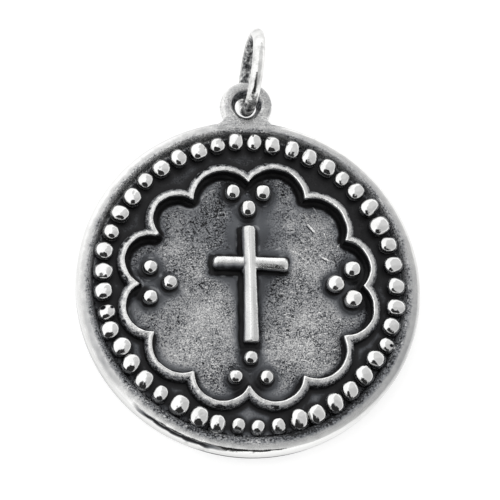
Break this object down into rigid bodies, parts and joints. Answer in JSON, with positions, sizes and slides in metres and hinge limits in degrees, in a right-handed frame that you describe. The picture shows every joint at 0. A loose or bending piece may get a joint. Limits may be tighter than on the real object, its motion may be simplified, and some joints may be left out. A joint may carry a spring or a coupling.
{
  "type": "cross medal pendant",
  "caption": "Round silver medal with a raised cross in a scalloped border and a rim of beads, with a jump ring through its eye for a chain.",
  "frame": {"origin": "middle of the round medal's flat back", "axes": "+Z out of the face, +Y towards the eye and the jump ring, +X to the right as the cross is read"},
  "size_m": [0.028, 0.0357, 0.0074],
  "materials": {
    "oxidised_silver": "cast silver, blackened in its recesses and polished on its high spots",
    "polished_silver": "polished silver wire"
  },
  "bodies": {
    "root": {"medal": "oxidised_silver", "jump_ring": "polished_silver"}
  },
  "joints": []
}
